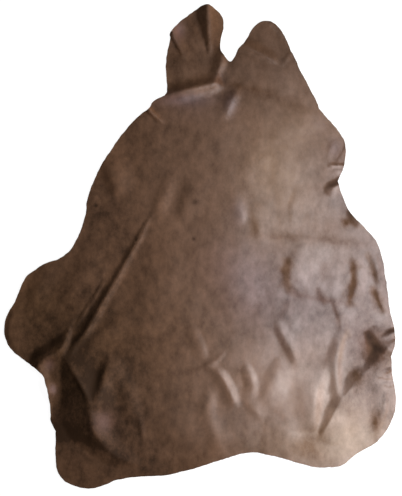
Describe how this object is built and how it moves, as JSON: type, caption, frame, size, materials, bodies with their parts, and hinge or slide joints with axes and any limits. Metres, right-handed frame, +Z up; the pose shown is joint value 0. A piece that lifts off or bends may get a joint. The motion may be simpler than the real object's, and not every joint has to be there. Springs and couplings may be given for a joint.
{
  "type": "leather hide",
  "caption": "Small whole leather hide in its natural outline, lying loosely on a flat surface with low folds and two neck lobes.",
  "frame": {"origin": "on the surface that the hide lies on, under the middle of its box seen from above", "axes": "+Z up, grain side up; +Y from the hind edge towards the neck; +X towards the flap fold's side, to the right seen from above with the neck away"},
  "size_m": [0.8329, 1.027, 0.0136],
  "materials": {
    "leather": "mottled dark brown dressed leather with a soft satin grain side and a paler suede flesh side"
  },
  "bodies": {
    "root": {"leather_hide": "leather"}
  },
  "joints": []
}
